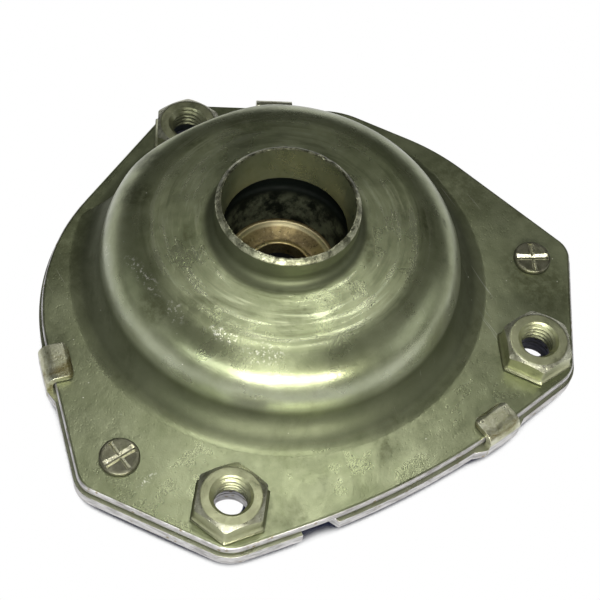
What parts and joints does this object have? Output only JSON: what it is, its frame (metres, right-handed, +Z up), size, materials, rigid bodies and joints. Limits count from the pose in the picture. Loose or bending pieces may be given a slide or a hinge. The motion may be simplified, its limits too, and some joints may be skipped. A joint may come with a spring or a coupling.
{
  "type": "strut mount",
  "caption": "Suspension strut top mount: a domed steel pressing with an open neck and weld nuts on its flange, closed below by a tabbed plate round a rubber-mounted core.",
  "frame": {"origin": "centre of the plan at the height of the collar's lower face", "axes": "+Z up along the neck's axis, +Y towards the single nut behind the dome, X across the mirror plane of the outline"},
  "size_m": [0.154, 0.137, 0.041],
  "materials": {
    "shell_steel": "olive zinc plating, stained and worn",
    "plate_steel": "dull zinc plating with bare sheared edges",
    "nut_steel": "olive zinc plating",
    "rivet_steel": "olive zinc plating",
    "black_rubber": "matte moulded",
    "core_zinc": "yellow zinc plating, speckled",
    "sleeve_zinc": "yellow zinc plating"
  },
  "bodies": {
    "root": {"upper_shell": "shell_steel", "closing_plate": "plate_steel", "weld_nut_left": "nut_steel", "weld_nut_right": "nut_steel", "weld_nut_back": "nut_steel", "staked_rivet_left": "rivet_steel", "staked_rivet_right": "rivet_steel", "rubber_element": "black_rubber", "core_plate": "core_zinc", "spacer_sleeve": "sleeve_zinc"}
  },
  "joints": []
}
